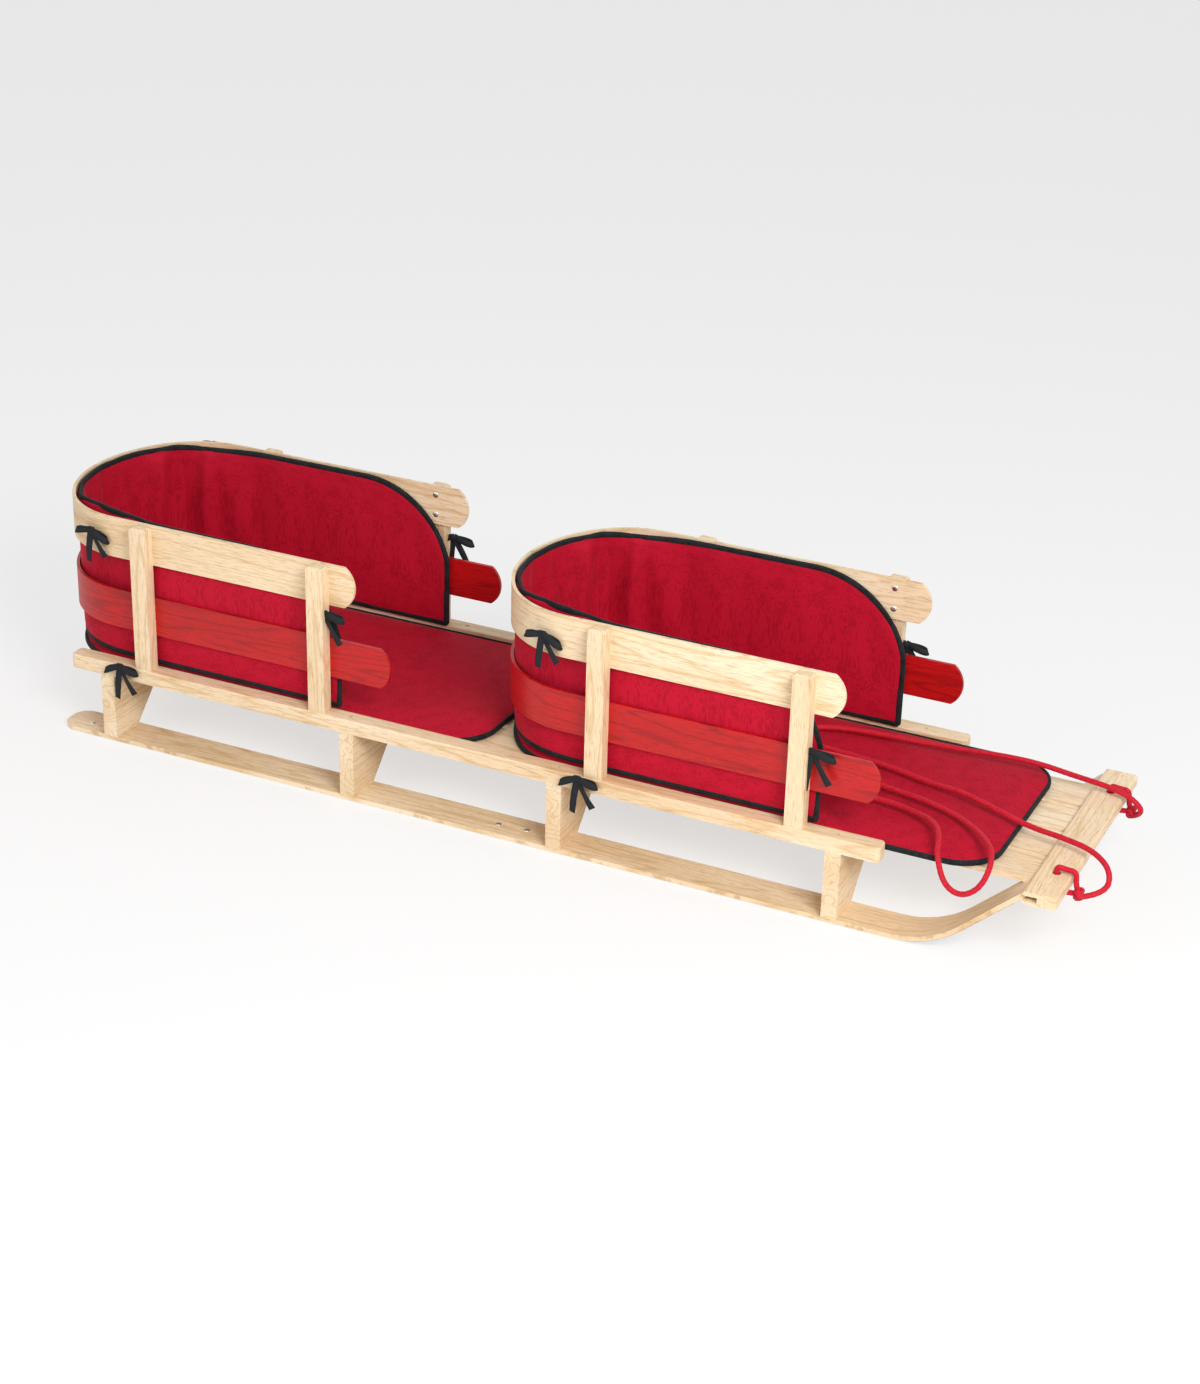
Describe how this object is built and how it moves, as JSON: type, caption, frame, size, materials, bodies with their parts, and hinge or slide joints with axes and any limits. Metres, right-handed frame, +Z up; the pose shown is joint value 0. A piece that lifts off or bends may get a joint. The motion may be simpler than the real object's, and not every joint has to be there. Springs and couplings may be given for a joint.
{
  "type": "tandem pull sled",
  "caption": "Low wooden pull sled with bent runners, a slatted deck, open cushioned tubs one behind the other for seated riders, and a tow rope tied to a front crosspiece.",
  "frame": {"origin": "on the ground under the middle of the sled's length and width, tow rope left out", "axes": "+X forward towards the crosspiece, +Y to the rider's left, +Z up"},
  "size_m": [1.6675, 0.4025, 0.3618],
  "materials": {
    "ash_wood": "clear satin varnish",
    "red_painted_ash": "red stain with grain showing",
    "shoe_steel": "thin strip",
    "cushion_cloth": "red woven polyester, padded",
    "tow_rope": "red braided cord"
  },
  "bodies": {
    "root": {"runner_left": "ash_wood", "runner_shoe_left": "shoe_steel", "runner_right": "ash_wood", "runner_shoe_right": "shoe_steel", "bunk_rear": "ash_wood", "bunk_rear_middle": "ash_wood", "bunk_front_middle": "ash_wood", "bunk_front": "ash_wood", "side_rail_left": "ash_wood", "side_rail_right": "ash_wood", "deck_slat_outer_left": "ash_wood", "deck_slat_inner_left": "ash_wood", "deck_slat_inner_right": "ash_wood", "deck_slat_outer_right": "ash_wood", "front_crosspiece": "ash_wood", "rear_tub_back_post_left": "ash_wood", "rear_tub_back_post_right": "ash_wood", "rear_tub_front_post_left": "ash_wood", "rear_tub_front_post_right": "ash_wood", "rear_tub_upper_band": "ash_wood", "rear_tub_lower_band": "red_painted_ash", "rear_tub_seat_pad": "cushion_cloth", "rear_tub_wall_cushion": "cushion_cloth", "front_tub_back_post_left": "ash_wood", "front_tub_back_post_right": "ash_wood", "front_tub_front_post_left": "ash_wood", "front_tub_front_post_right": "ash_wood", "front_tub_upper_band": "ash_wood", "front_tub_lower_band": "red_painted_ash", "front_tub_seat_pad": "cushion_cloth", "front_tub_wall_cushion": "cushion_cloth", "tow_rope": "tow_rope", "tow_rope_knot_left": "tow_rope", "tow_rope_knot_right": "tow_rope"}
  },
  "joints": []
}
